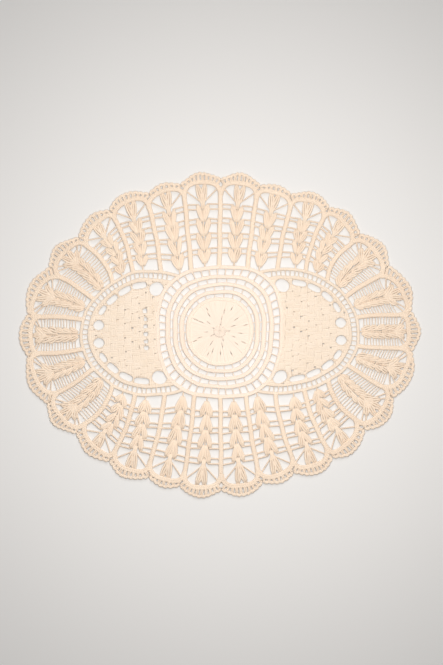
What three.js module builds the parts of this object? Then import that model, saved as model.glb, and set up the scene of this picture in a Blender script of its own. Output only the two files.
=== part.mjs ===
// Oval crochet placemat: one flat piece of cotton lace that lies on a table.
// Millimetres, +Z up. The origin is under the middle of the mat, on the table. +X is the long way.
// A round medallion sits in the middle with a lobe at each side, and a ring of petals goes round them.
// The thick cords are raised as crests, and the gaps of the lace are cut through.

import * as THREE from 'three';
import { mergeVertices } from 'three/addons/utils/BufferGeometryUtils.js';

// Heights above the table
const CORD_Z = 2.6;
const LEAF_Z = 2.3;
const STEM_Z = 1.6;
const FIELD_Z = 1.7;
const GROOVE_Z = 1.4;
const GAP_EDGE_Z = 1.2;
const HEM_Z = 1.9;

// Widths of the worked parts
const CORD_HALF = 1.9;
const LEAF_HALF = 4.6;
const STEM_HALF = 2.6;
const ARCH_HALF = 2.3;
const CROWN_HALF = 3.4;

// How square the curves are: 2 is an ellipse, more is squarer
const LOBE_INNER_SQUARE = 3;
const LOBE_OUTER_SQUARE = 2;
const ARCH_SQUARE = 2.6;

// Steps along the curves
const RIB_STEPS = 4;
const ARCH_STEPS = 8;

// Side lobes: a doubled cord round a close net
const LOBE_X = 75.5;
const LOBE_HALF_X = 63.3;
const LOBE_HALF_Y = 62.3;
const LOBE_CORD_PITCH = 8;
const FIELD_INSET = 24;
const FIELD_FROM_RING = 4;

// Where the lobe's cords run into the medallion, in degrees round the medallion
const OUTER_JOIN_TURN = 60;
const GROOVE_JOIN_TURN = 54;
const INNER_JOIN_TURN = 48;
const FIELD_RING_TURNS = [24, 12, 0];

// Medallion: round cords, each one inside the last
const RINGS = table(['halfX', 'halfY', 'square'], [
  [62, 64.5, 2.8],
  [51.8, 55, 2.6],
  [44.5, 47.2, 2.5],
  [38, 39.8, 2.3],
  [31.5, 32.5, 2.2],
]);
const RING_TURNS = [0, 12, 24, 36, 48, 54, 60, 72, 83, 90];
const DISC = { halfX: 27, halfY: 28, square: 2.2 };

// The ladder between the two outermost cords, as shares of the space between two posts
const LADDER_LAST_TURN = 60;
const LADDER_GAP = { from: 0.12, to: 0.88, outer: 0.22, inner: 0.78 };

// Ribs of one quarter, from the middle of the long side to the tip.
// Each starts on a cord at a turn round it, bends, and splits at its spring under a valley of the edge.
const RIBS = table(
  ['cord', 'turn', 'bendX', 'bendY', 'springX', 'springY', 'valleyX', 'valleyY'],
  [
    ['ring', 90, 0, 100, 0, 139.5, 0, 156.6],
    ['ring', 72, 30.5, 100, 36, 135.5, 41, 150.4],
    ['lobe', 99, 60.5, 96, 70.5, 125, 71.8, 141.6],
    ['lobe', 80, 91, 92, 105, 115, 111.3, 126.2],
    ['lobe', 58, 112, 75, 133.5, 88.5, 143, 98.8],
    ['lobe', 35, 146, 50, 161.5, 57, 171.9, 67.8],
    ['lobe', 14, 160, 18, 179.5, 17.5, 192.3, 20.8],
  ],
);

// Petals of one quarter. The last one is the tip, which is its own mirror image.
const PETALS = table(
  ['cord', 'turn', 'archX', 'archY', 'edgeX', 'edgeY'],
  [
    ['ring', 83, 20.5, 152, 22.5, 162.4],
    ['ring', 60, 56, 142.8, 58.5, 151],
    ['lobe', 90, 90.5, 133.8, 97, 141.6],
    ['lobe', 69, 124.5, 112, 131.8, 119.6],
    ['lobe', 46, 157, 82, 165.5, 89.2],
    ['lobe', 24, 184.5, 39.5, 191.5, 47.5],
    ['lobe', 0, 189, 0, 201, 0],
  ],
);
const TIP = PETALS.length - 1;

// Gaps beside a leaf column, as shares of the rib's length. Thread bars cross between them.
const SIDE_GAPS = table(['from', 'to'], [
  [0.05, 0.17],
  [0.29, 0.39],
  [0.495, 0.595],
  [0.695, 0.795],
]);
const TOP_GAP_FROM = 0.9;
const TOP_GAP_CROWN = 0.97;
const TOP_GAP_ARCH_SHARES = [0.3, 0.6];

// Gaps round the close net of a lobe: turns round the lobe, and how far in from its outer cord
const LOBE_GAPS = table(['fromTurn', 'toTurn', 'outerInset', 'innerInset'], [
  [4, 16, 11, 21.5],
  [42, 58, 11, 18],
  [72, 86, 11, 16],
  [96, 106, 12, 22.5],
]);

// The work is uneven by hand: a slow sway of one to two millimetres, a medallion set a little far,
// a far edge that drifts to the right, and spots at which the cords of the lobes are drawn in or out
const SWAY_X = { size: 1.5, alongX: 31, alongY: 43 };
const SWAY_Y = { size: 1.5, alongX: 37, alongY: 29 };
const MEDALLION_SHIFT = { size: 2, reachX: 55, reachY: 150 };
const FAR_DRIFT = { size: 2.6, reachX: 120, reachY: 150 };
const DRAWN_SPOTS = table(['spotX', 'spotY', 'pullX', 'pullY', 'reach'], [
  [97, -57, -2.5, 5.4, 42],
  [-120, -44, 2.7, 2.7, 35],
  [-114, 49, 1.4, -1.7, 25],
  [-76, 60, 0, 1.8, 20],
  [101, 57, -0.8, -1.8, 25],
]);

const COTTON = { color: 0xe9d3b8, roughness: 0.92, metalness: 0 };

// Rows of values under named columns
function table(columns, rows) {
  return rows.map((row) => Object.fromEntries(columns.map((name, i) => [name, row[i]])));
}

function at(x, y, z) {
  return new THREE.Vector3(x, y, z);
}

function mix(a, b, share) {
  return a.clone().lerp(b, share);
}

function mirrored(point, side) {
  return at(point.x * side.x, point.y * side.y, point.z);
}

// A power that keeps the sign, for curves between an ellipse and a box
function signedPower(value, square) {
  return Math.sign(value) * Math.abs(value) ** (2 / square);
}

function ringPoint(ring, turn, z) {
  const angle = THREE.MathUtils.degToRad(turn);
  const x = ring.halfX * signedPower(Math.cos(angle), ring.square);
  const y = ring.halfY * signedPower(Math.sin(angle), ring.square);
  return at(x, y, z);
}

// A point on the right-hand lobe, some way in from its outer cord
function lobePoint(inset, turn, z) {
  const angle = THREE.MathUtils.degToRad(turn);
  const square = Math.cos(angle) < 0 ? LOBE_INNER_SQUARE : LOBE_OUTER_SQUARE;
  const x = LOBE_X + (LOBE_HALF_X - inset) * signedPower(Math.cos(angle), square);
  const y = (LOBE_HALF_Y - inset) * signedPower(Math.sin(angle), square);
  return at(x, y, z);
}

// Where a rib or a petal stands on the cord under it
function footOf(row) {
  return row.cord === 'ring' ? ringPoint(RINGS[0], row.turn, CORD_Z) : lobePoint(0, row.turn, CORD_Z);
}

// The crest of a rib, from its foot to its spring
function ribCrest(row) {
  const foot = footOf(row);
  const bend = at(row.bendX, row.bendY, CORD_Z);
  const spring = at(row.springX, row.springY, CORD_Z);
  return new THREE.QuadraticBezierCurve3(foot, bend, spring).getPoints(RIB_STEPS);
}

// A square-shouldered arch from one point to another through an apex
function archPoints(from, to, apex) {
  const middle = mix(from, to, 0.5);
  const half = from.clone().sub(middle);
  const rise = apex.clone().sub(middle);
  const points = [];
  for (let step = 0; step <= ARCH_STEPS; step++) {
    const angle = (Math.PI * step) / ARCH_STEPS;
    const across = signedPower(Math.cos(angle), ARCH_SQUARE);
    const up = signedPower(Math.sin(angle), ARCH_SQUARE);
    points.push(middle.clone().addScaledVector(half, across).addScaledVector(rise, up));
  }
  points[0] = from;
  points[ARCH_STEPS] = to;
  return points;
}

// A rounded scallop from one valley of the edge to the next
function scallopPoints(from, to, apex) {
  const rise = apex.clone().sub(mix(from, to, 0.5));
  const points = [];
  for (let step = 0; step < ARCH_STEPS; step++) {
    const share = step / ARCH_STEPS;
    points.push(mix(from, to, share).addScaledVector(rise, Math.sin(Math.PI * share)));
  }
  return [...points, to];
}

// A point on a polyline at a share of its steps
function along(line, share) {
  const place = share * (line.length - 1);
  const step = Math.min(Math.floor(place), line.length - 2);
  return mix(line[step], line[step + 1], place - step);
}

// The surface is gathered here as triangles
const corners = [];

function sway({ x, y, z }) {
  const near = ({ size, reachX }) => size * Math.exp(-((x / reachX) ** 2));
  const shift = near(MEDALLION_SHIFT) * Math.max(0, 1 - (y / MEDALLION_SHIFT.reachY) ** 2);
  const drift = near(FAR_DRIFT) * Math.max(0, y / FAR_DRIFT.reachY) ** 2;
  const dx = SWAY_X.size * Math.sin(x / SWAY_X.alongX) * Math.sin(y / SWAY_X.alongY);
  const dy = SWAY_Y.size * Math.sin(x / SWAY_Y.alongX) * Math.sin(y / SWAY_Y.alongY);
  const moved = at(x + dx + drift, y + dy + shift, z);
  for (const { spotX, spotY, pullX, pullY, reach } of DRAWN_SPOTS) {
    const nearness = Math.exp(-((x - spotX) ** 2 + (y - spotY) ** 2) / reach ** 2);
    moved.add(at(pullX * nearness, pullY * nearness, 0));
  }
  return moved;
}

function addTriangle(a, b, c) {
  for (const point of [a, b, c]) {
    corners.push(...sway(point).toArray());
  }
}

function onTable(point) {
  return at(point.x, point.y, 0);
}

// Above zero where three points go anticlockwise as seen from above
function turnOf(a, b, c) {
  return (b.x - a.x) * (c.y - a.y) - (b.y - a.y) * (c.x - a.x);
}

// A triangle of the upper face, turned to look up
function addUpper(a, b, c) {
  const [second, third] = turnOf(a, b, c) > 0 ? [b, c] : [c, b];
  addTriangle(a, second, third);
}

// A triangle of the underside, turned to look down
function addUnder(a, b, c) {
  const [second, third] = turnOf(a, b, c) > 0 ? [c, b] : [b, c];
  addTriangle(onTable(a), onTable(second), onTable(third));
}

// A patch of lace inside a contour, less the loops in it
function fillCell(contour, loops, addSide) {
  const points = [contour, ...loops].flat();
  for (const [a, b, c] of THREE.ShapeUtils.triangulateShape([...contour], loops)) {
    addSide(points[a], points[b], points[c]);
  }
}

function addCell(contour, loops) {
  fillCell(contour, loops, addUpper);
  fillCell(contour, loops, addUnder);
}

// A strip between two lines with the same number of points, each quad split where it does not fold
function fillStrip(lineA, lineB, addSide) {
  for (let step = 0; step + 1 < lineA.length; step++) {
    const [a, b, c, d] = [lineA[step], lineA[step + 1], lineB[step + 1], lineB[step]];
    const splitsAtA = turnOf(a, b, c) * turnOf(a, c, d) > 0;
    const [first, second] = splitsAtA ? [[a, b, c], [a, c, d]] : [[a, b, d], [b, c, d]];
    addSide(...first);
    addSide(...second);
  }
}

// Two crests with a groove between them, flat underneath
function addGroove(crestA, crestB) {
  const groove = crestA.map((point, i) => mix(point, crestB[i], 0.5).setZ(GROOVE_Z));
  fillStrip(crestA, groove, addUpper);
  fillStrip(groove, crestB, addUpper);
  fillStrip(crestA, crestB, addUnder);
}

// The wall down to the table along a closed loop, with the lace on its inside or its outside
function addWall(loop, laceInside) {
  const clockwise = THREE.ShapeUtils.isClockWise(loop);
  const ordered = clockwise === laceInside ? [...loop].reverse() : loop;
  ordered.forEach((point, i) => {
    const next = ordered[(i + 1) % ordered.length];
    addTriangle(point, onTable(point), onTable(next));
    addTriangle(point, onTable(next), next);
  });
}

// The gaps on one side of a leaf column: four beside it and one under the arch
function gapsBeside(rib, axisAt, arch) {
  const between = (share) => {
    const outer = along(rib, share);
    const inner = axisAt(share);
    return { outer, inner, width: Math.hypot(inner.x - outer.x, inner.y - outer.y) };
  };
  const offRib = (share) => {
    const { outer, inner, width } = between(share);
    return mix(outer, inner, CORD_HALF / width).setZ(GAP_EDGE_Z);
  };
  const offColumn = (share, half) => {
    const { outer, inner, width } = between(share);
    return mix(inner, outer, half / width).setZ(GAP_EDGE_Z);
  };
  const sides = SIDE_GAPS.map(({ from, to }) => [
    offRib(from),
    offRib(to),
    offColumn(to, LEAF_HALF),
    offColumn((from + to) / 2, STEM_HALF),
    offColumn(from, LEAF_HALF),
  ]);
  const underArch = TOP_GAP_ARCH_SHARES.map((share) => {
    const crest = along(arch, share);
    const inward = axisAt(1).sub(crest).setZ(0).normalize();
    return crest.addScaledVector(inward, ARCH_HALF).setZ(GAP_EDGE_Z);
  });
  const top = [
    offRib(TOP_GAP_FROM),
    offRib(1),
    ...underArch,
    offColumn(TOP_GAP_CROWN, CROWN_HALF),
    offColumn(TOP_GAP_FROM, LEAF_HALF),
  ];
  return [...sides, top];
}

// The crest of a leaf column, high at each leaf pair and low between them
function columnCrest(foot, axisAt) {
  const points = [foot];
  SIDE_GAPS.forEach(({ from, to }, i) => {
    const next = i + 1 < SIDE_GAPS.length ? SIDE_GAPS[i + 1].from : TOP_GAP_FROM;
    points.push(axisAt((from + to) / 2).setZ(STEM_Z), axisAt((to + next) / 2).setZ(LEAF_Z));
  });
  points.push(axisAt(1).setZ(LEAF_Z));
  return points;
}

// One petal between two ribs, with its arch and its scallop. Gives back the scallop.
function addPetal(petal, ribA, ribB) {
  const chordAt = (share) => mix(along(ribA.crest, share), along(ribB.crest, share), 0.5);
  const lean = petal.foot.clone().sub(chordAt(0));
  const axisAt = (share) => chordAt(share).addScaledVector(lean, 1 - share);
  const column = columnCrest(petal.foot, axisAt);
  const arch = archPoints(ribA.crest[RIB_STEPS], ribB.crest[RIB_STEPS], petal.arch);
  const archA = arch.slice(0, ARCH_STEPS / 2 + 1);
  const archB = arch.slice(ARCH_STEPS / 2).reverse();
  const gapsA = gapsBeside(ribA.crest, axisAt, archA);
  const gapsB = gapsBeside(ribB.crest, axisAt, archB);
  fillCell([...ribA.crest, ...archA.slice(1), ...[...column].reverse()], gapsA, addUpper);
  fillCell([...ribB.crest, ...archB.slice(1), ...[...column].reverse()], gapsB, addUpper);
  const ribBDown = [...ribB.crest].reverse();
  const gaps = [...gapsA, ...gapsB];
  fillCell([...ribA.crest, ...arch.slice(1, -1), ...ribBDown, petal.foot], gaps, addUnder);
  gaps.forEach((gap) => addWall(gap, false));
  const scallop = scallopPoints(ribA.valley, ribB.valley, petal.edge);
  addGroove(arch, scallop);
  return scallop;
}

// The border, petal by petal clockwise from the middle of the far side
function addBorder() {
  const quarters = [
    { x: 1, y: 1, outward: true },
    { x: 1, y: -1, outward: false },
    { x: -1, y: -1, outward: true },
    { x: -1, y: 1, outward: false },
  ];
  const ribs = [];
  const petals = [];
  for (const side of quarters) {
    const quarterRibs = RIBS.map((row) => ({
      crest: ribCrest(row).map((point) => mirrored(point, side)),
      valley: mirrored(at(row.valleyX, row.valleyY, HEM_Z), side),
    }));
    const quarterPetals = PETALS.map((row) => ({
      foot: mirrored(footOf(row), side),
      arch: mirrored(at(row.archX, row.archY, CORD_Z), side),
      edge: mirrored(at(row.edgeX, row.edgeY, HEM_Z), side),
    }));
    ribs.push(...(side.outward ? quarterRibs : quarterRibs.slice(1).reverse()));
    petals.push(...(side.outward ? quarterPetals : quarterPetals.slice(0, TIP).reverse()));
  }
  const outline = petals.flatMap((petal, i) => {
    const scallop = addPetal(petal, ribs[i], ribs[(i + 1) % ribs.length]);
    return scallop.slice(0, ARCH_STEPS);
  });
  addWall(outline, true);
}

// A closed loop from its first quarter, which starts on +X and ends on +Y
function allRound(quarter) {
  const left = quarter.slice(0, -1).map((point) => mirrored(point, { x: -1, y: 1 }));
  const half = [...quarter, ...left.reverse()];
  const under = half.slice(1, -1).map((point) => mirrored(point, { x: 1, y: -1 }));
  return [...half, ...under.reverse()];
}

// The medallion: a ladder of gaps in the outer band, then grooves between cords, then a close disc
function addMedallion() {
  const loopOf = (ring, z) => allRound(RING_TURNS.map((turn) => ringPoint(ring, turn, z)));
  const closed = (loop) => [...loop, loop[0]];
  const loops = RINGS.map((ring) => loopOf(ring, CORD_Z));
  const [outer, inner] = loops.map(closed);
  const ladderEnd = ringPoint(RINGS[0], LADDER_LAST_TURN, 0).y;
  for (let i = 0; i + 1 < outer.length; i++) {
    const place = (u, v) => mix(mix(outer[i], outer[i + 1], u), mix(inner[i], inner[i + 1], u), v);
    const { from, to, outer: near, inner: far } = LADDER_GAP;
    const gap = [place(from, near), place(to, near), place(to, far), place(from, far)];
    gap.forEach((point) => point.setZ(GAP_EDGE_Z));
    const inLadder = Math.abs(mix(outer[i], outer[i + 1], 0.5).y) < ladderEnd;
    const gaps = inLadder ? [gap] : [];
    addCell([outer[i], outer[i + 1], inner[i + 1], inner[i]], gaps);
    gaps.forEach((loop) => addWall(loop, false));
  }
  for (let i = 1; i + 1 < loops.length; i++) {
    addGroove(closed(loops[i]), closed(loops[i + 1]));
  }
  const disc = loopOf(DISC, FIELD_Z);
  const innermost = loops[loops.length - 1];
  fillStrip(closed(innermost), closed(disc), addUpper);
  fillCell(disc, [], addUpper);
  fillCell(innermost, [], addUnder);
}

// One lobe: two cords with a groove between, big gaps inside them, and a close net in the middle
function addLobe(sideX) {
  const turns = [...RIBS, ...PETALS].filter((row) => row.cord === 'lobe').map((row) => row.turn);
  turns.sort((a, b) => a - b);
  const bothHalves = (half) => {
    const under = half.slice(1).map((point) => mirrored(point, { x: 1, y: -1 }));
    return [...under.reverse(), ...half].map((point) => mirrored(point, { x: sideX, y: 1 }));
  };
  const cordLine = (inset, joinTurn, z) => {
    const join = ringPoint(RINGS[0], joinTurn, CORD_Z);
    return bothHalves([...turns.map((turn) => lobePoint(inset, turn, z)), join]);
  };
  const outer = cordLine(0, OUTER_JOIN_TURN, CORD_Z);
  const groove = cordLine(LOBE_CORD_PITCH / 2, GROOVE_JOIN_TURN, GROOVE_Z);
  const inner = cordLine(LOBE_CORD_PITCH, INNER_JOIN_TURN, CORD_Z);
  for (const addSide of [addUpper, addUnder]) {
    fillStrip(outer, groove, addSide);
    fillStrip(groove, inner, addSide);
  }
  const { halfX, halfY, square } = RINGS[0];
  const fieldRing = { halfX: halfX + FIELD_FROM_RING, halfY: halfY + FIELD_FROM_RING, square };
  const fieldHalf = [
    ...turns.map((turn) => lobePoint(FIELD_INSET, turn, FIELD_Z)),
    ...FIELD_RING_TURNS.map((turn) => ringPoint(fieldRing, turn, FIELD_Z)),
  ];
  const field = bothHalves(fieldHalf).slice(1);
  const gaps = LOBE_GAPS.flatMap(({ fromTurn, toTurn, outerInset, innerInset }) => {
    const middle = (fromTurn + toTurn) / 2;
    const far = [fromTurn, middle, toTurn].map((turn) => lobePoint(outerInset, turn, GAP_EDGE_Z));
    const near = [toTurn, middle, fromTurn].map((turn) => lobePoint(innerInset, turn, GAP_EDGE_Z));
    return [1, -1].map((sideY) => [...far, ...near].map((point) => mirrored(point, { x: sideX, y: sideY })));
  });
  const ringTurns = RING_TURNS.filter((turn) => turn < INNER_JOIN_TURN);
  const ringSide = bothHalves(ringTurns.map((turn) => ringPoint(RINGS[0], turn, CORD_Z)));
  addCell([...inner, ...ringSide.reverse()], [field, ...gaps]);
  addCell(field, []);
  gaps.forEach((gap) => addWall(gap, false));
}

addMedallion();
addLobe(1);
addLobe(-1);
addBorder();

const surface = new THREE.BufferGeometry();
surface.setAttribute('position', new THREE.Float32BufferAttribute(corners, 3));

const mat = new THREE.Mesh(mergeVertices(surface), new THREE.MeshStandardMaterial(COTTON));
mat.name = 'placemat';

const group = new THREE.Group();
group.add(mat);

export default group;
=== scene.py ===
import math
from collections import namedtuple

import bpy
import numpy as np
from mathutils import Matrix, Vector


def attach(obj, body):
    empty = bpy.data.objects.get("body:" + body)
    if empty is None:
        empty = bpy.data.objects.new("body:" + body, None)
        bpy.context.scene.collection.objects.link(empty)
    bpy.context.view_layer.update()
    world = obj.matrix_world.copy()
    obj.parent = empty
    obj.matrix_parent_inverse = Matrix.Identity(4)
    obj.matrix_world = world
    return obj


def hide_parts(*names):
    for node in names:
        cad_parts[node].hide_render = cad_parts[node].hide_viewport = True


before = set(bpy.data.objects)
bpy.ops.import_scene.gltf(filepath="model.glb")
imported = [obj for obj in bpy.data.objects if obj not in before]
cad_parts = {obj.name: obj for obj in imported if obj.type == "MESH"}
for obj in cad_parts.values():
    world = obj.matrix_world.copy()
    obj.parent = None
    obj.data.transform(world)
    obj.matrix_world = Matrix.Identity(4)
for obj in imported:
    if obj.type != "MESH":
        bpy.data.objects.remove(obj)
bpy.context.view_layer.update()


# The medallion
# The round middle of the mat, worked first in cream crochet cotton: five corded rounds held apart by
# thread posts, and inside them a close disc of tall stitches that radiate from a knot in the middle.

# every size is in millimetres until a section's mesh is made
MILLIMETRE = 0.001

rng = np.random.default_rng(26)

# the unevenness of hand work: how far rows wander and over which lengths in x and y, how far the middle sits
# from the centre and the far edge drifts to the right, and the reach in x and y over which both fade
ROWS_WANDER, WANDER_X, WANDER_Y = 1.5, (31, 43), (37, 29)
MIDDLE_FAR, MIDDLE_REACH = 2, (55, 150)
EDGE_DRIFT, DRIFT_REACH = 2.6, (120, 150)
# place, pull and reach of the spots at which the work is drawn in or out, most of all the near cord of the
# right lobe
DRAWN_SPOTS = [
    ((97, -57), (-2.5, 5.4), 42),
    ((-120, -44), (2.7, 2.7), 35),
    ((-114, 49), (1.4, -1.7), 25),
    ((-76, 60), (0, 1.8), 20),
    ((101, 57), (-0.8, -1.8), 25),
]


def hand_sway(points):
    """Where the points of an even mat lie in one made by hand."""
    x, y = points[:, 0], points[:, 1]
    far = MIDDLE_FAR * np.exp(-((x / MIDDLE_REACH[0]) ** 2)) * np.maximum(0, 1 - (y / MIDDLE_REACH[1]) ** 2)
    drift = EDGE_DRIFT * np.exp(-((x / DRIFT_REACH[0]) ** 2)) * np.maximum(0, y / DRIFT_REACH[1]) ** 2
    moved = points.copy()
    moved[:, 0] += ROWS_WANDER * np.sin(x / WANDER_X[0]) * np.sin(y / WANDER_X[1]) + drift
    moved[:, 1] += ROWS_WANDER * np.sin(x / WANDER_Y[0]) * np.sin(y / WANDER_Y[1]) + far
    for place, pull, reach in DRAWN_SPOTS:
        nearness = np.exp(-np.sum((points[:, :2] - place) ** 2, axis=1) / reach**2)
        moved[:, :2] += nearness[:, None] * pull
    return moved


class Skein:
    """All the strands of one section, each a closed tube of thread."""

    def __init__(self):
        self.points, self.quads, self.lies, self.shades, self.count = [], [], [], [], 0

    def strand(self, path, radius, sides=6, closed=False, flat=1.0):
        """One strand along a path. It is round, or pressed flat to that share of its height."""
        path = np.asarray(path, float)
        steps = len(path)
        if closed:
            ahead, behind = np.roll(path, -1, 0), np.roll(path, 1, 0)
        else:
            ahead, behind = np.vstack([path[1:], path[-1:]]), np.vstack([path[:1], path[:-1]])
        run = ahead - behind
        run /= np.linalg.norm(run, axis=1, keepdims=True)
        side = np.cross([0.0, 0.0, 1.0], run)
        side /= np.linalg.norm(side, axis=1, keepdims=True)
        lift = np.cross(run, side)
        turn = np.arange(sides) * 2 * math.pi / sides
        thick = np.broadcast_to(np.asarray(radius, float), (steps,))[:, None, None]
        ring = side[:, None] * np.cos(turn)[:, None] + lift[:, None] * (flat * np.sin(turn))[:, None]
        self.points.append((path[:, None] + ring * thick).reshape(-1, 3))

        # faces round the tube, each with its lie: length along the thread and share of the way round it
        spans = steps if closed else steps - 1
        span, face = np.meshgrid(np.arange(spans), np.arange(sides), indexing="ij")
        span, face = span.ravel(), face.ravel()
        here, there, beside = span * sides, (span + 1) % steps * sides, (face + 1) % sides
        quads = [np.stack([here + face, here + beside, there + beside, there + face], 1)]
        gone = np.concatenate([[0], np.cumsum(np.linalg.norm(ahead - path, axis=1))])
        start, end, left = gone[span], gone[span + 1], face / sides
        right = left + 1 / sides
        lies = [np.stack([start, left, start, right, end, right, end, left], 1).reshape(-1, 4, 2)]
        if not closed:
            last = (steps - 1) * sides
            for corner in range(1, sides - 2, 2):
                quads.append(np.array([[0, corner + 2, corner + 1, corner]]))
                quads.append(np.array([[0, corner, corner + 1, corner + 2]]) + last)
                lies.append(np.zeros((2, 4, 2)))
        self.quads.append(np.concatenate(quads) + self.count)
        self.lies.append(np.concatenate(lies))
        self.shades.append(np.full(steps * sides, rng.random()))
        self.count += steps * sides

    def piece(self, name, cotton):
        """The strands as one mesh in the mat's own place, with the lie of the thread as its UV map."""
        points = hand_sway(np.concatenate(self.points)) * MILLIMETRE
        quads, lies = np.concatenate(self.quads), np.concatenate(self.lies)
        mesh = bpy.data.meshes.new(name)
        mesh.vertices.add(len(points))
        mesh.vertices.foreach_set("co", points.astype(np.float32).ravel())
        mesh.loops.add(quads.size)
        mesh.loops.foreach_set("vertex_index", quads.astype(np.int32).ravel())
        mesh.polygons.add(len(quads))
        mesh.polygons.foreach_set("loop_start", np.arange(0, quads.size, 4, dtype=np.int32))
        mesh.uv_layers.new(name="thread").data.foreach_set("uv", lies.astype(np.float32).ravel())
        shade = mesh.attributes.new("shade", "FLOAT", "POINT")
        shade.data.foreach_set("value", np.concatenate(self.shades).astype(np.float32))
        mesh.update(calc_edges=True)
        mesh.shade_smooth()
        mesh.materials.append(cotton)
        piece = bpy.data.objects.new(name, mesh)
        bpy.context.collection.objects.link(piece)
        return piece


def measured(line, closed):
    """A flat line, shut if it is closed, and how far along it each of its points lies."""
    line = np.asarray(line, float)
    if closed:
        line = np.vstack([line, line[:1]])
    return line, np.concatenate([[0], np.cumsum(np.linalg.norm(np.diff(line, axis=0), axis=1))])


def length_of(line, closed=False):
    return measured(line, closed)[1][-1]


def paced(line, steps, closed=False):
    """A flat line's points at even steps, and the direction to the left of each."""
    line, gone = measured(line, closed)
    at = np.linspace(0, gone[-1], steps + 1)[: steps if closed else steps + 1]
    points = np.stack([np.interp(at, gone, line[:, 0]), np.interp(at, gone, line[:, 1])], 1)
    if closed:
        run = np.roll(points, -1, 0) - np.roll(points, 1, 0)
    else:
        run = np.gradient(points, axis=0)
    run /= np.linalg.norm(run, axis=1, keepdims=True)
    return points, np.stack([-run[:, 1], run[:, 0]], 1)


# a corded row's plait: strands, length of a turn, points along a turn, height, rise of a strand, flatness
PLAIT_STRANDS, PLAIT_TURN, PLAIT_POINTS = 3, 6.0, 8
PLAIT_HEIGHT, PLAIT_RISE, PLAIT_FLAT = 1.25, 0.42, 0.88
# how far a corded row wanders from its line, the length of one wave, and how late a round's swell sets in
CORD_WANDER, CORD_WAVE, SWELL_POWER = 0.25, 30, 4


def cord(skein, line, wide, thick, rise=PLAIT_RISE, pitch=PLAIT_TURN, closed=False, side_swell=0.0):
    """A corded row of plaited strands, from how far they swing to each side and their half thickness.
    A round may be wider at the left and right by a share, and its strands thicker by a third of that."""
    length = length_of(line, closed)
    turns = max(1, round(length / pitch))
    points, left = paced(line, turns * PLAIT_POINTS, closed)
    share = np.arange(len(points)) / (turns * PLAIT_POINTS)
    start = rng.random()
    waves = max(1, round(length / CORD_WAVE))
    wander = CORD_WANDER * np.sin(2 * math.pi * (waves * share + rng.random()))
    swell = 0.0
    if side_swell:
        swell = side_swell * (points[:, 0] / np.abs(points[:, 0]).max()) ** SWELL_POWER
    for part in range(PLAIT_STRANDS):
        phase = 2 * math.pi * (turns * share + part / PLAIT_STRANDS + start)
        spot = points + left * (wander + wide * (1 + swell) * np.sin(phase))[:, None]
        height = PLAIT_HEIGHT + rise * np.sin(2 * phase)
        girth = thick * (1 + swell / 3)
        skein.strand(np.column_stack([spot, height]), girth, closed=closed, flat=PLAIT_FLAT)


# a thin thread: strands, length of a turn, points along a turn, sides of a strand, height
TWIST_STRANDS, TWIST_TURN, TWIST_POINTS, TWIST_SIDES, TWIST_HEIGHT = 2, 4.0, 6, 4, 1.2


def twist(skein, line, thick, apart, pitch=TWIST_TURN, height=TWIST_HEIGHT, closed=False):
    """A thin thread of twisted strands, from their half thickness and how far each is from the line."""
    turns = max(1, round(length_of(line, closed) / pitch))
    points, left = paced(line, turns * TWIST_POINTS, closed)
    share = np.arange(len(points)) / (turns * TWIST_POINTS)
    start = rng.random()
    for part in range(TWIST_STRANDS):
        phase = 2 * math.pi * (turns * share + part / TWIST_STRANDS + start)
        spot = points + left * (apart * np.cos(phase))[:, None]
        skein.strand(np.column_stack([spot, height + apart * np.sin(phase)]), thick, TWIST_SIDES, closed)


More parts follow.
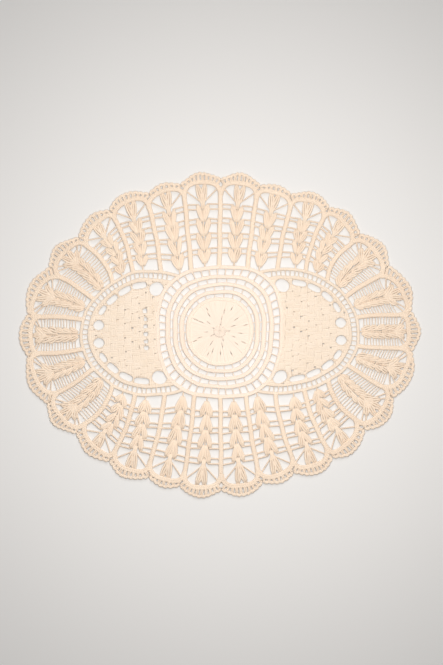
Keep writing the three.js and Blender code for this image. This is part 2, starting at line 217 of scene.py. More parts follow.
def crochet_cotton(name, light, deep):
    """Cream cotton: two tones by strand and place, and a bump of plies laid round the thread with fibres."""
    cotton = bpy.data.materials.new(name)
    cotton.use_nodes = True
    nodes, links = cotton.node_tree.nodes, cotton.node_tree.links
    finish = nodes["Principled BSDF"]
    finish.inputs["Roughness"].default_value = 0.88
    finish.inputs["Specular IOR Level"].default_value = 0.25
    finish.inputs["Sheen Weight"].default_value = 0.25
    finish.inputs["Sheen Roughness"].default_value = 0.6
    finish.inputs["Sheen Tint"].default_value = (1.0, 0.95, 0.88, 1)

    # the two tones
    place = nodes.new("ShaderNodeTexCoord")
    patches = nodes.new("ShaderNodeTexNoise")
    patches.inputs["Scale"].default_value = 38
    patches.inputs["Detail"].default_value = 3
    links.new(place.outputs["Object"], patches.inputs["Vector"])
    shade = nodes.new("ShaderNodeAttribute")
    shade.attribute_name = "shade"
    blend = nodes.new("ShaderNodeMath")
    blend.operation = "MULTIPLY_ADD"
    blend.inputs[1].default_value = 0.45
    links.new(shade.outputs["Fac"], blend.inputs[0])
    links.new(patches.outputs["Fac"], blend.inputs[2])
    tone = nodes.new("ShaderNodeValToRGB")
    tone.color_ramp.elements[0].position = 0.3
    tone.color_ramp.elements[0].color = (*deep, 1)
    tone.color_ramp.elements[1].position = 1.0
    tone.color_ramp.elements[1].color = (*light, 1)
    links.new(blend.outputs[0], tone.inputs["Fac"])
    links.new(tone.outputs["Color"], finish.inputs["Base Color"])

    # the plies and fibres
    lie = nodes.new("ShaderNodeUVMap")
    lie.uv_map = "thread"
    slant = nodes.new("ShaderNodeMapping")
    slant.inputs["Rotation"].default_value = (0, 0, math.radians(35))
    slant.inputs["Scale"].default_value = (1, 2.2, 1)
    links.new(lie.outputs["UV"], slant.inputs["Vector"])
    plies = nodes.new("ShaderNodeTexWave")
    plies.inputs["Scale"].default_value = 0.5
    plies.inputs["Distortion"].default_value = 0.6
    plies.inputs["Detail"].default_value = 1
    links.new(slant.outputs["Vector"], plies.inputs["Vector"])
    fibres = nodes.new("ShaderNodeTexNoise")
    fibres.inputs["Scale"].default_value = 5200
    fibres.inputs["Detail"].default_value = 2
    links.new(place.outputs["Object"], fibres.inputs["Vector"])
    surface = nodes.new("ShaderNodeMath")
    surface.operation = "MULTIPLY_ADD"
    surface.inputs[1].default_value = 0.35
    links.new(fibres.outputs["Fac"], surface.inputs[0])
    links.new(plies.outputs["Fac"], surface.inputs[2])
    bump = nodes.new("ShaderNodeBump")
    bump.inputs["Strength"].default_value = 0.5
    bump.inputs["Distance"].default_value = 0.00012
    links.new(surface.outputs[0], bump.inputs["Height"])
    links.new(bump.outputs["Normal"], finish.inputs["Normal"])
    return cotton


def signed_power(value, square):
    """A cosine or sine bent for a rounded square: a squareness of 2 leaves it round."""
    return np.sign(value) * np.abs(value) ** (2 / square)


def ring_line(half_x, half_y, square, turns):
    """Points of a rounded square about the mat's centre, at turns in degrees."""
    angle = np.radians(turns)
    return np.stack([half_x * signed_power(np.cos(angle), square),
                     half_y * signed_power(np.sin(angle), square)], 1)


# half width, half length and squareness of each corded round, the share by which its cord is wider at the
# left and right, and the pace of the posts to the next round inwards
ROUNDS = [
    (62.0, 64.5, 2.8, 0.1, 8.3),
    (51.8, 55.0, 2.6, 0.4, 10.2),
    (44.5, 47.2, 2.5, 0.4, 10.0),
    (38.0, 39.8, 2.3, 0.4, 9.8),
    (31.5, 32.5, 2.2, 0.4, None),
]
ROUND_CORD = 1.3, 0.85
OUTER_POST, INNER_POST = (0.42, 0.35), (0.3, 0.2)

medallion_thread = Skein()
all_round = np.linspace(0, 360, 361)[:-1]
for row, (half_x, half_y, square, side_swell, pace) in enumerate(ROUNDS):
    round_line = ring_line(half_x, half_y, square, all_round)
    cord(medallion_thread, round_line, *ROUND_CORD, closed=True, side_swell=side_swell)
    if pace:
        inner = ring_line(*ROUNDS[row + 1][:3], all_round)
        posts = round(length_of(round_line, True) / pace)
        heads, feet = paced(round_line, posts, True)[0], paced(inner, posts, True)[0]
        for head, foot in zip(heads, feet):
            twist(medallion_thread, [head, foot], *(INNER_POST if row else OUTER_POST))

# the disc's stitches: where they start and end, their height, their number, points along one, how much wider
# than their share of the round they are, how flat, and how far one strays as a share of their pace
DISC_FROM, DISC_RADIUS, DISC_HEIGHT = 4.6, 32.4, 1.35
DISC_STITCHES, STITCH_POINTS = 96, 18
STITCH_OVERLAP, STITCH_FLAT, STITCH_STRAY = 1.36, 0.28, 0.05
# radius of each round of the disc in which slits show between the stitches, and the slits in it
SLIT_ROUNDS = [(8.0, 5), (14.0, 7), (20.5, 9), (26.5, 8)]
# a slit's half length and half width, how far it strays along its stitch, and round the disc as a share of
# the slits' pace
SLIT_LONG, SLIT_WIDE, SLIT_STRAY, SLIT_STRAY_ROUND = 1.8, 0.56, 0.7, 0.12
# the chain under the stitches of each such round: squareness of a circle, degrees between its points, height,
# half width and flatness
CHAIN_SQUARE, CHAIN_STEP, CHAIN_HEIGHT, CHAIN_WIDE, CHAIN_FLAT = 2, 10, 0.6, 1.2, 0.4

# a slit opens where two stitches of the disc bow away from each other
radii = np.linspace(DISC_FROM, DISC_RADIUS, STITCH_POINTS)
bows = np.zeros((DISC_STITCHES, STITCH_POINTS))
for number, (radius, slits) in enumerate(SLIT_ROUNDS):
    chain = ring_line(radius, radius, CHAIN_SQUARE, all_round[::CHAIN_STEP])
    chain = np.column_stack([chain, np.full(len(chain), CHAIN_HEIGHT)])
    medallion_thread.strand(chain, CHAIN_WIDE, closed=True, flat=CHAIN_FLAT)
    for slit in range(slits):
        along = radii - radius + rng.normal(0, SLIT_STRAY)
        spread = SLIT_WIDE * np.exp(-((along / SLIT_LONG) ** 2))
        paces = slit + number / 2 + rng.normal(0, SLIT_STRAY_ROUND)
        stitch_beside = round(paces * DISC_STITCHES / slits) % DISC_STITCHES
        bows[stitch_beside] += spread
        bows[stitch_beside - 1] -= spread

# the knot: half length, height of its ends and of its middle, and half thickness from end to end
KNOT_HALF, KNOT_HEIGHT, KNOT_CREST, KNOT_THICK = 0.9, 1.5, 1.55, (0.5, 1.0, 0.5)
# the short stitches from the knot to the disc: where they end, their number, points along one, half thickness
# at the start and the end, and the flatness that the knot has too
MIDDLE_END, MIDDLE_STITCHES, MIDDLE_POINTS, MIDDLE_THICK, MIDDLE_FLAT = 6.2, 18, 5, (0.2, 1.2), 0.3

knot = [(-KNOT_HALF, 0, KNOT_HEIGHT), (0, 0, KNOT_CREST), (KNOT_HALF, 0, KNOT_HEIGHT)]
medallion_thread.strand(knot, KNOT_THICK, flat=MIDDLE_FLAT)
for number in range(MIDDLE_STITCHES):
    angle = 2 * math.pi * (number + rng.normal(0, STITCH_STRAY)) / MIDDLE_STITCHES
    spot = np.linspace(KNOT_HALF, MIDDLE_END, MIDDLE_POINTS)[:, None] * (math.cos(angle), math.sin(angle))
    height = np.linspace(KNOT_HEIGHT, DISC_HEIGHT, MIDDLE_POINTS)
    girth = np.linspace(*MIDDLE_THICK, MIDDLE_POINTS)
    medallion_thread.strand(np.column_stack([spot, height]), girth, flat=MIDDLE_FLAT)
for number, bow in enumerate(bows):
    angle = 2 * math.pi * (number + rng.normal(0, STITCH_STRAY)) / DISC_STITCHES
    ray, left = np.array([[math.cos(angle), math.sin(angle)], [-math.sin(angle), math.cos(angle)]])
    spot = ray * radii[:, None] + left * bow[:, None]
    height = np.full(STITCH_POINTS, DISC_HEIGHT)
    girth = STITCH_OVERLAP * math.pi * radii / DISC_STITCHES
    medallion_thread.strand(np.column_stack([spot, height]), girth, flat=STITCH_FLAT)

# the same cream cotton as the lobes and border in two random tones, painted lighter here: painted light for
# the brighter light on the middle of the mat
MEDALLION_LIGHT_PAINTED_LIT, MEDALLION_DEEP_PAINTED_LIT = (0.98, 0.835, 0.71), (0.945, 0.79, 0.66)
medallion_cotton_painted_lit = crochet_cotton("medallion cotton painted lit", MEDALLION_LIGHT_PAINTED_LIT, MEDALLION_DEEP_PAINTED_LIT)
medallion = medallion_thread.piece("medallion", medallion_cotton_painted_lit)
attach(medallion, "root")
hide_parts("placemat")


# The side lobes
# A lobe at each side of the medallion, of the same cotton: two corded rows held apart by a ladder of
# thread, and inside them a close net of crossed bands with a row of open gaps along the inner cord.

# a lobe's middle, half width and half length, and its squareness towards the medallion and away from it
LOBE_X, LOBE_HALF_X, LOBE_HALF_Y = 75.5, 63.3, 62.3
LOBE_INNER_SQUARE, LOBE_OUTER_SQUARE = 3, 2
# degrees on the lobe's line over which its cords are laid, as far as the medallion
LOBE_TURNS = np.linspace(-150, 150, 601)
LOBE_CORD, CORDS_APART = (0.95, 0.75), 8
RUNG_THREAD, RUNG_PACE = (0.34, 0.28), 4.6


def lobe_line(inset, turns):
    """Points of the right lobe's outer cord, or of a line inside it, at turns in degrees."""
    angle = np.radians(turns)
    square = np.where(np.cos(angle) < 0, LOBE_INNER_SQUARE, LOBE_OUTER_SQUARE)
    return np.stack([LOBE_X + (LOBE_HALF_X - inset) * signed_power(np.cos(angle), square),
                     (LOBE_HALF_Y - inset) * signed_power(np.sin(angle), square)], 1)


def in_lobe(points, inset):
    x, y = points[:, 0] - LOBE_X, points[:, 1]
    square = np.where(x < 0, LOBE_INNER_SQUARE, LOBE_OUTER_SQUARE)
    return np.abs(x / (LOBE_HALF_X - inset)) ** square + np.abs(y / (LOBE_HALF_Y - inset)) ** square < 1


def in_medallion(points, clear):
    half_x, half_y, square = ROUNDS[0][:3]
    x, y = points[:, 0] / (half_x + clear), points[:, 1] / (half_y + clear)
    return np.abs(x) ** square + np.abs(y) ** square < 1


# middle, half length, half width, tilt in degrees and squareness of each gap left open in the net, on the
# far side of the long axis
NET_GAPS = [
    ((61.8, 45.5), 8.0, 7.0, -20, 2.2),
    ((79.5, 48.8), 8.4, 3.7, -5, 3.0),
    ((95.4, 44.8), 7.8, 3.9, -24, 3.0),
    ((108.7, 36.1), 7.2, 3.9, -42, 3.0),
    ((118.0, 24.9), 6.2, 3.4, -60, 2.6),
    ((121.4, 9.2), 6.1, 5.9, 0, 1.8),
]
# the thread round a gap, and the degrees between its points
GAP_THREAD, GAP_STEP = (0.45, 0.36), 10
# y and half width of the small open squares in a row beside the medallion, in the left lobe only
NET_SQUARES = [(24, 2.5), (15.5, 2.2), (7.5, 2.2), (-0.5, 2.4), (-8, 2.3), (-15, 2.5)]
# the row's x, how far outside a square its thread runs, that thread, and the degrees between its points
NET_SQUARES_X, SQUARE_RIM, SQUARE_THREAD, SQUARE_STEP = 74, 0.4, (0.28, 0.2), 30


def net_square(y, half):
    """A small open square, told as a gap is."""
    middle, tilt, square, flip = (NET_SQUARES_X, y), 0, 3, 1
    return middle, half, half, tilt, square, flip


def gap_line(middle, half_long, half_wide, tilt, square, flip, turns):
    """Points round a gap of the right lobe's far half, or flipped into its near half, at turns in degrees."""
    angle, lean = np.radians(turns), math.radians(tilt)
    x, y = half_long * signed_power(np.cos(angle), square), half_wide * signed_power(np.sin(angle), square)
    return (np.array(middle) + np.stack([x * math.cos(lean) - y * math.sin(lean),
                                         x * math.sin(lean) + y * math.cos(lean)], 1)) * (1, flip)


def in_gap(points, middle, half_long, half_wide, tilt, square, flip):
    lean = math.radians(tilt)
    x, y = (points * (1, flip) - middle).T
    along, across = x * math.cos(lean) + y * math.sin(lean), y * math.cos(lean) - x * math.sin(lean)
    return np.abs(along / half_long) ** square + np.abs(across / half_wide) ** square < 1


# the net's blocks of strands: columns and rows to each side of the middle block, its x, side of a block, how
# far each column stands above the last as a share of that, how far a block strays, and how far the net stays
# from the cords round it
NET_COLUMNS, NET_ROWS, NET_X = 7, 12, 92
BLOCK, BLOCK_STEP, BLOCK_STRAY, NET_CLEAR = 7.4, 0.42, 0.2, 0.5
# the strands of a block: where they lie across it in paces, half width, flatness, half length as a share of
# the block, points along one, and fewest points that are laid
STRAND_PLACES = -1.5, -0.5, 0.5, 1.5
STRAND_WIDE, STRAND_FLAT, STRAND_REACH, STRAND_POINTS, FEWEST_POINTS = 1.25, 0.42, 0.6, 13, 3
# height of a strand's middle, how far its ends dip, and how late they do
NET_HEIGHT, NET_DIP, DIP_POWER = 1.3, 0.55, 4
# how far an outer strand may bow into its block and out of it, and how short and how steep that bow is
BOW_IN, BOW_OUT, BOW_SHORT, BOW_POWER = 0.8, 0.2, 0.78, 8
# shares of a block at which its first strand may stop, which leaves a small hole at that corner or none
HOLE_STARTS = 0.35, 0.45, 0.45, 0.7

strand_shares = np.linspace(-STRAND_REACH, STRAND_REACH, STRAND_POINTS)
strand_heights = NET_HEIGHT - NET_DIP * np.abs(strand_shares / STRAND_REACH) ** DIP_POWER
strand_bow = np.cos(math.pi * strand_shares * BOW_SHORT) ** BOW_POWER


def net_block(skein, side, column, row, openings):
    """One block of the net: strands side by side, left out where the net ends or is open."""
    middle = np.array([side * NET_X, 0]) + BLOCK * np.array([column, row + column * BLOCK_STEP])
    middle += rng.normal(0, BLOCK_STRAY, 2)
    hole_from = rng.choice(HOLE_STARTS)
    ways = np.array([1, 0]), np.array([0, 1])
    run, step = ways if (column + row) % 2 == 0 else ways[::-1]
    bows = rng.uniform(-BOW_OUT, BOW_IN), 0, 0, rng.uniform(-BOW_IN, BOW_OUT)
    for place, bow in zip(STRAND_PLACES, bows):
        beside = place * BLOCK / len(STRAND_PLACES) + bow * strand_bow
        line = middle + run * BLOCK * strand_shares[:, None] + step * beside[:, None]
        spots = line * (side, 1)
        kept = in_lobe(spots, CORDS_APART + NET_CLEAR) & ~in_medallion(spots, NET_CLEAR)
        if place == STRAND_PLACES[0]:
            kept &= strand_shares < hole_from
        for opening in openings:
            kept &= ~in_gap(spots, *opening)
        ends = np.flatnonzero(np.diff(np.concatenate([[0], kept.astype(int), [0]])))
        for first, end in zip(ends[::2], ends[1::2]):
            if end - first >= FEWEST_POINTS:
                lay = np.column_stack([line, strand_heights])[first:end]
                skein.strand(lay, STRAND_WIDE, flat=STRAND_FLAT)


# the same cream cotton as the medallion in two random tones, painted darker than the medallion's: painted
# shade
LOBE_LIGHT_PAINTED_SHADE, LOBE_DEEP_PAINTED_SHADE = (0.93, 0.79, 0.655), (0.88, 0.735, 0.59)
for side, lobe_name in ((1, "side_lobe_right"), (-1, "side_lobe_left")):
    lobe_thread = Skein()
    outer, inner = lobe_line(0, LOBE_TURNS), lobe_line(CORDS_APART, LOBE_TURNS)
    outer, inner = outer[~in_medallion(outer, 0)], inner[~in_medallion(inner, 0)]
    for corded in (outer, inner):
        cord(lobe_thread, corded * (side, 1), *LOBE_CORD)
    rungs = round(length_of(inner) / RUNG_PACE)
    for foot in paced(inner, rungs)[0][1:-1]:
        head = outer[np.argmin(np.linalg.norm(outer - foot, axis=1))]
        twist(lobe_thread, [head * (side, 1), foot * (side, 1)], *RUNG_THREAD)

    openings = [(*gap, flip) for gap in NET_GAPS for flip in (1, -1)]
    for gap in openings:
        rim = gap_line(*gap, all_round[::GAP_STEP])
        twist(lobe_thread, rim * (side, 1), *GAP_THREAD, closed=True)
    if side < 0:
        for y, half in NET_SQUARES:
            openings.append(net_square(y, half))
            rim = gap_line(*net_square(y, half + SQUARE_RIM), all_round[::SQUARE_STEP])
            twist(lobe_thread, rim * (side, 1), *SQUARE_THREAD, closed=True)
    for column in range(-NET_COLUMNS, NET_COLUMNS + 1):
        for row in range(-NET_ROWS, NET_ROWS + 1):
            net_block(lobe_thread, side, column, row, openings)

    # the lobe's cotton carries painted shade: it is darker than the medallion's
    lobe_cotton_painted_shade = crochet_cotton(lobe_name + " cotton", LOBE_LIGHT_PAINTED_SHADE, LOBE_DEEP_PAINTED_SHADE)
    lobe = lobe_thread.piece(lobe_name, lobe_cotton_painted_shade)
    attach(lobe, "root")
    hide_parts("placemat")


# The petal border
# A ring of 26 petals of the same cotton, worked round the middle in four quarters that mirror each other.
# Each has corded ribs at its sides, a column of plump leaves with a fan, thread bars, an arch and an edging
# of small loops.

# cord that a rib starts from, turn on that cord, bend, spring of the arches, valley of the edging
Rib = namedtuple("Rib", "row turn bend spring valley")
RIBS = [
    Rib("ring", 90, (0, 100), (0, 139.5), (0, 156.6)),
    Rib("ring", 72, (30.5, 100), (36, 135.5), (41, 150.4)),
    Rib("lobe", 99, (60.5, 96), (70.5, 125), (71.8, 141.6)),
    Rib("lobe", 80, (91, 92), (105, 115), (111.3, 126.2)),
    Rib("lobe", 58, (112, 75), (133.5, 88.5), (143, 98.8)),
    Rib("lobe", 35, (146, 50), (161.5, 57), (171.9, 67.8)),
    Rib("lobe", 14, (160, 18), (179.5, 17.5), (192.3, 20.8)),
]
RIB_CORD, RIB_POINTS = (1.6, 1.0), 25
# cord that a petal's column starts from, turn on that cord, top of the arch, top of the edging, leaf kind
PETALS = [
    ("ring", 83, (20.5, 152), (22.5, 162.4), "open"),
    ("ring", 60, (56, 142.8), (58.5, 151), "open"),
    ("lobe", 90, (90.5, 133.8), (97, 141.6), "open"),
    ("lobe", 69, (124.5, 112), (131.8, 119.6), "open"),
    ("lobe", 46, (157, 82), (165.5, 89.2), "close"),
    ("lobe", 24, (184.5, 39.5), (191.5, 47.5), "close"),
    ("lobe", 0, (189, 0), (201, 0), "tip"),
]
ARCH_CORD, ARCH_POINTS, ARCH_SQUARE = (1.7, 1.0), 97, 2.6


def foot_of(row, turn):
    """The point of the medallion's or the right lobe's outer cord at a turn in degrees."""
    line = ring_line(*ROUNDS[0][:3], [turn]) if row == "ring" else lobe_line(0, [turn])
    return line[0]


def rib_line(rib, shares):
    """Points of a rib at shares of the way from its cord to the spring of its arches."""
    foot, bend, spring = foot_of(rib.row, rib.turn), np.array(rib.bend, float), np.array(rib.spring, float)
    share = np.asarray(shares, float)[:, None]
    return foot * (1 - share) ** 2 + bend * 2 * share * (1 - share) + spring * share**2


def rib_at(rib, share):
    return rib_line(rib, [share])[0]


def arch_line(start, end, top, shares):
    start, end, top = (np.array(point, float) for point in (start, end, top))
    middle, angle = (start + end) / 2, np.pi * np.asarray(shares, float)[:, None]
    return (middle + (start - middle) * signed_power(np.cos(angle), ARCH_SQUARE)
            + (top - middle) * signed_power(np.sin(angle), ARCH_SQUARE))


def scallop_line(start, end, top, shares):
    start, end, top = (np.array(point, float) for point in (start, end, top))
    share = np.asarray(shares, float)[:, None]
    return start + (end - start) * share + (top - (start + end) / 2) * np.sin(math.pi * share)


def left_of(run):
    return np.array([-run[1], run[0]]) / np.linalg.norm(run)


# the edging's loops: cord, rise of its strands, pace, points in a loop, and fewest over a petal
LOOP_CORD, LOOP_RISE, LOOP_PACE, LOOP_POINTS, FEWEST_LOOPS = (0.85, 0.8), 0.35, 5.4, 6, 6
# how far a loop swings out, how far the loops' feet lie inside the outline, how much less so at a valley, and
# how far along the edging that reaches
LOOP_DEEP, LOOP_INSET, VALLEY_LIFT, VALLEY_REACH = 1.5, 2.95, 0.2, 4
# the posts under the loops: how far each strand stands to the side, how far it strays, its half thickness,
# height of its ends, rise between them, and points along it
POST_SIDE, POST_STRAY, POST_THICK, POST_HEIGHT, POST_RISE, POST_POINTS = 0.75, 0.1, 0.8, 1.2, 0.3, 5


def post(skein, foot, head):
    """One short stitch: two strands side by side from foot to head, arched a little."""
    share = np.linspace(0, 1, POST_POINTS)
    run, arched = head - foot, np.sin(math.pi * share)
    for offset in (-POST_SIDE, POST_SIDE):
        beside = offset + rng.normal(0, POST_STRAY) * arched
        spot = foot + run * share[:, None] + left_of(run) * beside[:, None]
        skein.strand(np.column_stack([spot, POST_HEIGHT + POST_RISE * arched]), POST_THICK)


# a leaf's swell: how far its ends are left open, how far it lies towards the tip, and how full it is (less is
# fuller)
LEAF_OPEN, LEAF_TOP_HEAVY, LEAF_FULL = 0.08, 1.45, 0.78
# a leaf's strands: points along one, half thickness at the ends and what the swell adds, flatness, and how
# far inside the leaf's edge the outer ones run
LEAF_POINTS, LEAF_THIN, LEAF_PLUMP, LEAF_FLAT, LEAF_EDGE = 6, 0.35, 0.75, 0.8, 1.15
# height of a leaf's ends, what the swell adds in its middle, and how much less it adds at the sides
LEAF_HEIGHT, LEAF_CREST, LEAF_SIDE_DROP = 1.05, 0.45, 0.3


def leaf(skein, root, tip, wide):
    """A plump leaf: tall stitches worked together at both ends and swelling between them."""
    share = np.linspace(0, 1, LEAF_POINTS)
    run = tip - root
    swell = np.sin(math.pi * (LEAF_OPEN + (1 - 2 * LEAF_OPEN) * share**LEAF_TOP_HEAVY)) ** LEAF_FULL
    for part in (-1, 0, 1):
        beside = part * (wide / 2 - LEAF_EDGE) * swell
        spot = root + run * share[:, None] + left_of(run) * beside[:, None]
        height = LEAF_HEIGHT + (LEAF_CREST - LEAF_SIDE_DROP * abs(part)) * swell
        skein.strand(np.column_stack([spot, height]), LEAF_THIN + LEAF_PLUMP * swell, flat=LEAF_FLAT)


# share of the way from the cord to the arches' springs at which the column ends and its fan starts
CROWN = 0.9
# the column's stem: thread, length of a turn, height, points along it
STEM_THREAD, STEM_TURN, STEM_HEIGHT, STEM_POINTS = (0.5, 0.4), 4.6, 0.95, 9
# share of the column at which each pair of leaves has its tips, its leaves' length as a share of the column,
# and the offset of their roots and tips from the column
LEAVES = {
    "open": [(0.275, 0.2, 0.9, 4.9), (0.49, 0.24, 1.1, 5.6), (0.69, 0.24, 1.1, 5.8),
             (0.885, 0.24, 1.1, 5.0)],
    "close": [(0.28, 0.22, 1.3, 4.7), (0.45, 0.25, 1.7, 5.5), (0.62, 0.25, 1.8, 5.9),
              (0.79, 0.25, 1.8, 6.2), (0.96, 0.25, 1.8, 6.2)],
    "tip": [(0.29, 0.23, 1.8, 4.9), (0.46, 0.25, 2.0, 5.6), (0.63, 0.25, 2.0, 5.9),
            (0.8, 0.25, 2.0, 5.9), (0.97, 0.25, 2.0, 5.9)],
}
LEAF_WIDE = {"open": 6.2, "close": 6.6, "tip": 6.8}
# how far a leaf's width and the offset of its tip stray, how far its tip strays along the column, how far a
# tip stays from its rib, and the share of the column that gives the column's direction there
LEAF_STRAY, TIP_STRAY, RIB_CLEAR, COLUMN_STEP = 0.35, 0.5, 4.5, 0.05
# angle from the column and length of each leaf in the fan at its top, their width, and the share of their
# length by which their roots stand behind the crown
FANS = {
    "open": [(-11.5, 20.5), (11.5, 20.5)],
    "close": [(-48, 14), (-16, 19.5), (16, 19.5), (48, 14)],
    "tip": [(-42, 11), (0, 11), (42, 11)],
}
FAN_WIDE = {"open": 6.8, "close": 6.8, "tip": 6.6}
FAN_ROOTS = {"open": 0.26, "close": 0.12, "tip": 0.2}
# bars of an open petal: thread, share of the column from a leaf's tip to each of them, how far from the
# column they start, how long they are at least, and how far their ends stray as a share of the rib
BAR_THREAD, BAR_STEPS, BAR_START, BAR_LONG, BAR_STRAY = (0.52, 0.44), (-0.07, 0.0), 4.5, 4, 0.008
# fine bars of the other petals: thread, number, the first one's share of the column and the span of them all
FINE_THREAD, FINE_BARS, FINE_FROM, FINE_SPAN = (0.26, 0.2), 13, 0.14, 0.8
# how far from the column they start, at most that share of the way to the rib, and how far their ends rise
# and stray as a share of the rib
FINE_START, FINE_SHARE, FINE_RISE, FINE_STRAY = 5.5, 0.5, 0.02, 0.006
# bars beside the fan: thread, share of the way from the crown at which they start, and shares of the arch at
# which they end
FAN_BAR_THREAD, FAN_BAR_START = (0.44, 0.38), 0.05
FAN_BAR_ENDS = {
    "open": (0.14, 0.86),
    "close": (0.12, 0.24, 0.76, 0.88),
    "tip": (0.12, 0.24, 0.76, 0.88),
}


class Petal:
    """One petal between two ribs, laid out in the far right quarter and mirrored as it is worked."""

    def __init__(self, skein, mirror, petal, ribs):
        row, turn, self.arch_top, self.edge_top, self.kind = petal
        self.skein, self.mirror, self.ribs = skein, mirror, ribs
        self.arch = self.arch_at(np.linspace(0, 1, ARCH_POINTS))
        self.lean = foot_of(row, turn) - (rib_at(ribs[0], 0) + rib_at(ribs[1], 0)) / 2
        self.crown = self.column_at(CROWN)

    def arch_at(self, shares):
        return arch_line(self.ribs[0].spring, self.ribs[1].spring, self.arch_top, shares)

    def column_at(self, share):
        """The column's point at a share of its length: between the ribs, and leaning from its own foot."""
        return (rib_at(self.ribs[0], share) + rib_at(self.ribs[1], share)) / 2 + self.lean * (1 - share)

    def way_to(self, rib, share):
        """The direction from the column to a rib, and how far the rib is."""
        across = rib_at(rib, share) - self.column_at(share)
        return across / np.linalg.norm(across), np.linalg.norm(across)

    def lay_thread(self, points, thick, apart, pitch=TWIST_TURN, height=TWIST_HEIGHT):
        twist(self.skein, np.array(points) * self.mirror, thick, apart, pitch, height)

    def lay_leaf(self, root, tip, wide):
        leaf(self.skein, root * self.mirror, tip * self.mirror, wide)

    def work_edging(self):
        """The arch over the petal's end, and the small loops that stand on it on posts."""
        cord(self.skein, self.arch * self.mirror, *ARCH_CORD)
        edge = scallop_line(self.ribs[0].valley, self.ribs[1].valley, self.edge_top,
                            np.linspace(0, 1, ARCH_POINTS))
        length = length_of(edge)
        loops = max(FEWEST_LOOPS, round(length / LOOP_PACE))
        points, left = paced(edge, loops * LOOP_POINTS)
        if np.dot(left[len(left) // 2], np.subtract(self.edge_top, self.arch_top)) < 0:
            left = -left
        gone = np.linspace(0, length, len(points))
        in_valley = np.exp(-((np.minimum(gone, length - gone) / VALLEY_REACH) ** 2))
        waves = np.abs(np.sin(math.pi * np.arange(len(points)) / LOOP_POINTS))
        loop_line = points + left * (LOOP_DEEP * waves - LOOP_INSET + VALLEY_LIFT * in_valley)[:, None]
        cord(self.skein, loop_line * self.mirror, *LOOP_CORD, rise=LOOP_RISE, pitch=LOOP_PACE)
        for knot in loop_line[::LOOP_POINTS]:
            near = self.arch[np.argmin(np.linalg.norm(self.arch - knot, axis=1))]
            post(self.skein, near * self.mirror, knot * self.mirror)

    def work_column(self):
        """The leaves in pairs on a thin stem, and in an open petal the bars from each leaf to its rib."""
        stem = [self.column_at(share) for share in np.linspace(0, CROWN, STEM_POINTS)]
        self.lay_thread(stem, *STEM_THREAD, STEM_TURN, STEM_HEIGHT)
        reach = np.linalg.norm(self.column_at(1) - self.column_at(0))
        for share, long_share, root_step, tip_step in LEAVES[self.kind]:
            upward = self.column_at(share) - self.column_at(share - COLUMN_STEP)
            upward /= np.linalg.norm(upward)
            for rib in self.ribs:
                toward, width = self.way_to(rib, share)
                side_step = min(tip_step, width - RIB_CLEAR) + rng.normal(0, LEAF_STRAY)
                tip = self.column_at(share) + toward * side_step + upward * rng.normal(0, TIP_STRAY)
                root = self.column_at(share) - upward * long_share * reach + toward * root_step
                self.lay_leaf(root, tip, LEAF_WIDE[self.kind] + rng.normal(0, LEAF_STRAY))
                if self.kind == "open":
                    self.work_bars(rib, share)

    def work_bars(self, rib, leaf_share):
        """The two bars from a leaf to its rib."""
        for step in BAR_STEPS:
            share = leaf_share + step
            toward, width = self.way_to(rib, share)
            start = self.column_at(share) + toward * min(BAR_START, width - BAR_LONG)
            end = rib_at(rib, share + rng.normal(0, BAR_STRAY))
            self.lay_thread([start, end], *BAR_THREAD)

    def work_fine_bars(self):
        """The close rows of fine bars from the column to both ribs."""
        for number in range(FINE_BARS):
            share = FINE_FROM + FINE_SPAN * number / (FINE_BARS - 1)
            for rib in self.ribs:
                toward, width = self.way_to(rib, share)
                start = self.column_at(share) + toward * min(FINE_START, width * FINE_SHARE)
                end = rib_at(rib, share + FINE_RISE + rng.normal(0, FINE_STRAY))
                self.lay_thread([start, end], *FINE_THREAD)

    def work_fan(self):
        """The leaves that spread from the crown, and the bars beside them."""
        ahead = self.arch[ARCH_POINTS // 2] - self.crown
        for angle, long in FANS[self.kind]:
            turn = math.radians(angle)
            ray = np.array([ahead[0] * math.cos(turn) - ahead[1] * math.sin(turn),
                            ahead[0] * math.sin(turn) + ahead[1] * math.cos(turn)])
            ray *= min(long, np.linalg.norm(ahead)) / np.linalg.norm(ahead)
            self.lay_leaf(self.crown - ray * FAN_ROOTS[self.kind], self.crown + ray, FAN_WIDE[self.kind])
        for share in FAN_BAR_ENDS[self.kind]:
            end = self.arch_at([share])[0]
            self.lay_thread([self.crown + (end - self.crown) * FAN_BAR_START, end], *FAN_BAR_THREAD)


# a quarter's mirror in x and y, its name, its petals and its ribs; what lies on the line between two quarters
# is worked in one of them
QUARTERS = [
    ((1, 1), "border_far_right", range(0, 7), range(0, 7)),
    ((1, -1), "border_near_right", range(0, 6), range(1, 7)),
    ((-1, -1), "border_near_left", range(0, 7), range(0, 7)),
    ((-1, 1), "border_far_left", range(0, 6), range(1, 7)),
]
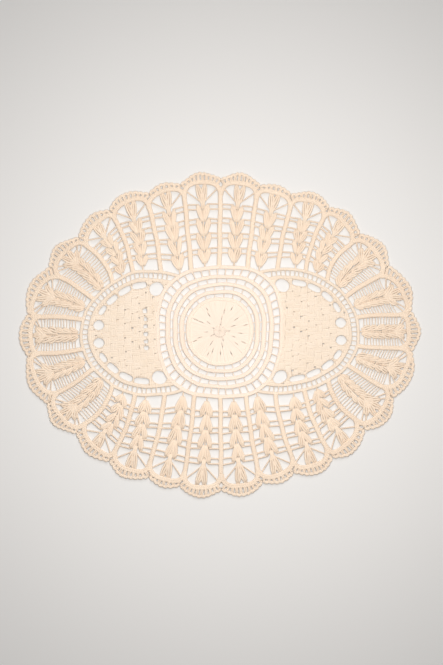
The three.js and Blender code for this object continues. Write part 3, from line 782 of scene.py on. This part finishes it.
# the same cream cotton as the medallion in two random tones, painted darker and warmer than the medallion's:
# painted shade
BORDER_LIGHT_PAINTED_SHADE, BORDER_DEEP_PAINTED_SHADE = (0.955, 0.795, 0.64), (0.895, 0.72, 0.565)
border_cotton_painted_shade = crochet_cotton("border cotton painted shade", BORDER_LIGHT_PAINTED_SHADE, BORDER_DEEP_PAINTED_SHADE)
for mirror, border_name, petals, ribs in QUARTERS:
    border_thread = Skein()
    for number in ribs:
        rib_points = rib_line(RIBS[number], np.linspace(0, 1, RIB_POINTS))
        cord(border_thread, rib_points * mirror, *RIB_CORD)
    for number in petals:
        rib = RIBS[number]
        if number + 1 < len(RIBS):
            next_rib = RIBS[number + 1]
        else:
            next_rib = Rib(rib.row, -rib.turn, *((x, -y) for x, y in (rib.bend, rib.spring, rib.valley)))
        petal = Petal(border_thread, mirror, PETALS[number], (rib, next_rib))
        petal.work_edging()
        petal.work_column()
        if petal.kind != "open":
            petal.work_fine_bars()
        petal.work_fan()
    border = border_thread.piece(border_name, border_cotton_painted_shade)
    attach(border, "root")
    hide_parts("placemat")


# The table, light and camera
# A plain pale table top, a broad soft lamp over the middle of the mat, a low window light from the far side
# and an even pale room. The camera looks almost straight down in an upright frame, turned by a hair.

# in metres, side of the table top and how far it lies below the mat
TABLE_SIDE, TABLE_DROP = 6, 0.0002

bpy.ops.object.select_all(action="DESELECT")
bpy.ops.mesh.primitive_plane_add(size=TABLE_SIDE, location=(0, 0, -TABLE_DROP))
table = bpy.context.active_object
table.name = "table_top"
table_paint = bpy.data.materials.new("table paint")
table_paint.use_nodes = True
table_finish = table_paint.node_tree.nodes["Principled BSDF"]
table_finish.inputs["Base Color"].default_value = (0.83, 0.815, 0.80, 1)
table_finish.inputs["Roughness"].default_value = 0.8
table_finish.inputs["Specular IOR Level"].default_value = 0.2
table.data.materials.append(table_paint)

room = bpy.data.worlds.new("room")
room.use_nodes = True
room.node_tree.nodes["Background"].inputs["Color"].default_value = (1.0, 0.99, 0.98, 1)
room.node_tree.nodes["Background"].inputs["Strength"].default_value = 0.17
bpy.context.scene.world = room

lamp_light = bpy.data.lights.new("lamp", "AREA")
lamp_light.shape = "DISK"
lamp_light.size = 0.45
lamp_light.energy = 2.45
lamp_light.color = (1.0, 0.985, 0.965)
lamp = bpy.data.objects.new("lamp", lamp_light)
lamp.visible_camera = False
lamp.location = (0.015, 0.02, 0.5)
bpy.context.collection.objects.link(lamp)

WINDOW_WAY = Vector((-0.15, -0.8, -0.6))
window_light = bpy.data.lights.new("window", "SUN")
window_light.energy = 0.8
window_light.angle = math.radians(25)
window = bpy.data.objects.new("window", window_light)
window.rotation_euler = WINDOW_WAY.to_track_quat("-Z", "Y").to_euler()
bpy.context.collection.objects.link(window)

# what the camera looks at, how far off and how high it stands, how far it is turned, and half its view
LOOK_AT, DISTANCE = Vector((0.0018, 0.0009, 0)), 0.9135
ELEVATION, ROLL, HALF_VIEW = math.radians(87), math.radians(-0.6), math.radians(20)
lens = bpy.data.cameras.new("camera")
lens.sensor_width = 36
lens.lens = lens.sensor_width / 2 / math.tan(HALF_VIEW)
camera = bpy.data.objects.new("camera", lens)
back = Vector((0, -math.cos(ELEVATION), math.sin(ELEVATION)))
camera.location = LOOK_AT + back * DISTANCE
facing = (-back).to_track_quat("-Z", "Y").to_matrix()
camera.rotation_euler = (facing @ Matrix.Rotation(ROLL, 3, "Z")).to_euler()
bpy.context.collection.objects.link(camera)
bpy.context.scene.camera = camera
bpy.context.scene.view_settings.view_transform = "Standard"
